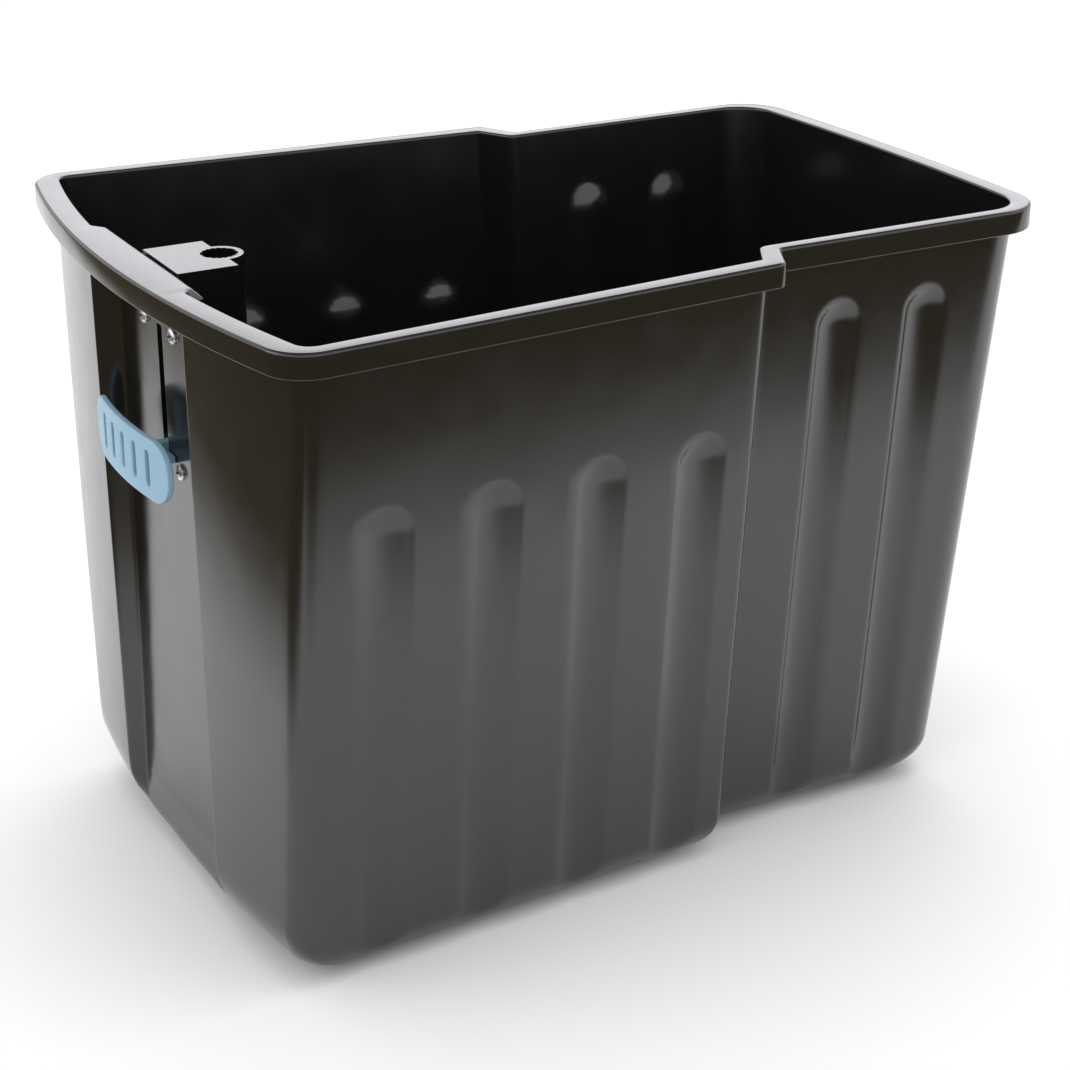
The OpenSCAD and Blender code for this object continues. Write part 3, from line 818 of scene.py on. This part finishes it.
# %% Floor
FLOOR_SIZE = 14.0
floor_mesh = bmesh.new()
bmesh.ops.create_grid(floor_mesh, x_segments=1, y_segments=1, size=FLOOR_SIZE / 2)
floor = from_bmesh("floor", floor_mesh)
floor_finish, floor_tree, floor_shader = new_material("white_floor", (0.8, 0.8, 0.8), 0.9)
floor_shader.inputs["Specular IOR Level"].default_value = 0.0
floor_white = floor_tree.nodes.new("ShaderNodeMapRange")
floor_white.inputs["To Min"].default_value = 0.80
floor_white.inputs["To Max"].default_value = 1.0
floor_tree.links.new(seen_directly(floor_tree), floor_white.inputs["Value"])
floor_tree.links.new(floor_white.outputs["Result"], floor_shader.inputs["Base Color"])
floor.data.materials.append(floor_finish)


# %% Lamps: a large soft one overhead, one behind and one on the left
def soft_lamp(name, place, target, size, power):
    lamp = bpy.data.lights.new(name, "AREA")
    lamp.shape = "RECTANGLE"
    lamp.size, lamp.size_y = size
    lamp.energy = power
    piece = bpy.data.objects.new(name, lamp)
    piece.location = place
    piece.rotation_euler = (Vector(target) - Vector(place)).to_track_quat("-Z", "Y").to_euler()
    bpy.context.scene.collection.objects.link(piece)
    return piece


soft_lamp("lamp_above", (0.3, -0.2, 2.6), (0, 0, 0.2), (2.2, 2.2), 12)
lamp_behind = soft_lamp("lamp_behind", (0.95, 1.75, 1.2), (0, 0, 0.4), (2.0, 1.0), 9)
lamp_behind.data.color = (0.94, 0.93, 1.0)
soft_lamp("lamp_left", (-2.4, 0.6, 1.3), (0, 0, 0.2), (1.6, 1.6), 8)

# %% Painted reflections: glowing dark sheets past the paper and above, seen only in the gloss of the plastic
# Painted reflection: colour of a glowing sheet that only the gloss of the plastic shows
PAINTED_REFLECTION_COLOUR = (0.15, 0.122, 0.070)
PAPER_LEFT = 0.47
PAPER_FRONT = 0.50
PAPER_FADE = 0.26


def stage_plane(name, height, size):
    shape = bmesh.new()
    bmesh.ops.create_grid(shape, x_segments=1, y_segments=1, size=size / 2)
    bmesh.ops.translate(shape, verts=shape.verts[:], vec=(0, 0, height))
    piece = from_bmesh(name, shape)
    piece.visible_camera = False
    piece.visible_diffuse = False
    piece.visible_shadow = False
    return piece


def painted_reflection_finish():
    """Clear over the paper, and a painted dark reflection colour past its left and front edges."""
    finish = bpy.data.materials.new("painted_dark_reflection")
    finish.use_nodes = True
    tree = finish.node_tree
    tree.nodes.clear()
    place = tree.nodes.new("ShaderNodeTexCoord")
    split = tree.nodes.new("ShaderNodeSeparateXYZ")
    tree.links.new(place.outputs["Object"], split.inputs["Vector"])
    past = tree.nodes.new("ShaderNodeMath")
    past.operation = "MAXIMUM"
    for i, (axis, edge) in enumerate((("X", PAPER_LEFT), ("Y", PAPER_FRONT))):
        fade = tree.nodes.new("ShaderNodeMapRange")
        fade.interpolation_type = "SMOOTHSTEP"
        fade.inputs["From Min"].default_value = -edge
        fade.inputs["From Max"].default_value = -edge - PAPER_FADE
        tree.links.new(split.outputs[axis], fade.inputs["Value"])
        tree.links.new(fade.outputs["Result"], past.inputs[i])
    clear = tree.nodes.new("ShaderNodeBsdfTransparent")
    painted_glow = tree.nodes.new("ShaderNodeEmission")
    painted_glow.inputs["Color"].default_value = (*PAINTED_REFLECTION_COLOUR, 1)
    mixed = tree.nodes.new("ShaderNodeMixShader")
    end = tree.nodes.new("ShaderNodeOutputMaterial")
    tree.links.new(past.outputs["Value"], mixed.inputs["Fac"])
    tree.links.new(clear.outputs["BSDF"], mixed.inputs[1])
    tree.links.new(painted_glow.outputs["Emission"], mixed.inputs[2])
    tree.links.new(mixed.outputs["Shader"], end.inputs["Surface"])
    return finish


# Painted reflection: a dark grey glowing card overhead that only the gloss shows, dimming what
# surfaces facing up reflect
def painted_ceiling_reflection_finish():
    finish = bpy.data.materials.new("painted_ceiling_reflection")
    finish.use_nodes = True
    tree = finish.node_tree
    tree.nodes.clear()
    painted_glow = tree.nodes.new("ShaderNodeEmission")
    painted_glow.inputs["Color"].default_value = (0.22, 0.22, 0.22, 1)
    end = tree.nodes.new("ShaderNodeOutputMaterial")
    tree.links.new(painted_glow.outputs["Emission"], end.inputs["Surface"])
    return finish


# Both sheets glow but are no lamps: they only paint dark reflections into the gloss
stage_plane("room_around_paper", 0.002, FLOOR_SIZE).data.materials.append(painted_reflection_finish())
stage_plane("ceiling", 1.7, 2.6).data.materials.append(painted_ceiling_reflection_finish())

# %% Camera at the photograph's viewing angle
CAMERA_PLACE = (-0.71470, -1.30815, 0.81706)
CAMERA_AZIMUTH = math.radians(-28.68)
CAMERA_DOWN = math.radians(22.96)
camera = bpy.data.objects.new("camera", bpy.data.cameras.new("camera"))
camera.data.lens = 82.02
camera.data.sensor_width = 36.0
camera.data.clip_start = 0.05
camera.location = CAMERA_PLACE
forward = Vector((-math.sin(CAMERA_AZIMUTH) * math.cos(CAMERA_DOWN),
                  math.cos(CAMERA_AZIMUTH) * math.cos(CAMERA_DOWN), -math.sin(CAMERA_DOWN)))
camera.rotation_euler = forward.to_track_quat("-Z", "Y").to_euler()
bpy.context.scene.collection.objects.link(camera)
bpy.context.scene.camera = camera
bpy.context.scene.view_settings.view_transform = "Standard"

# %% Finish
bpy.context.view_layer.update()
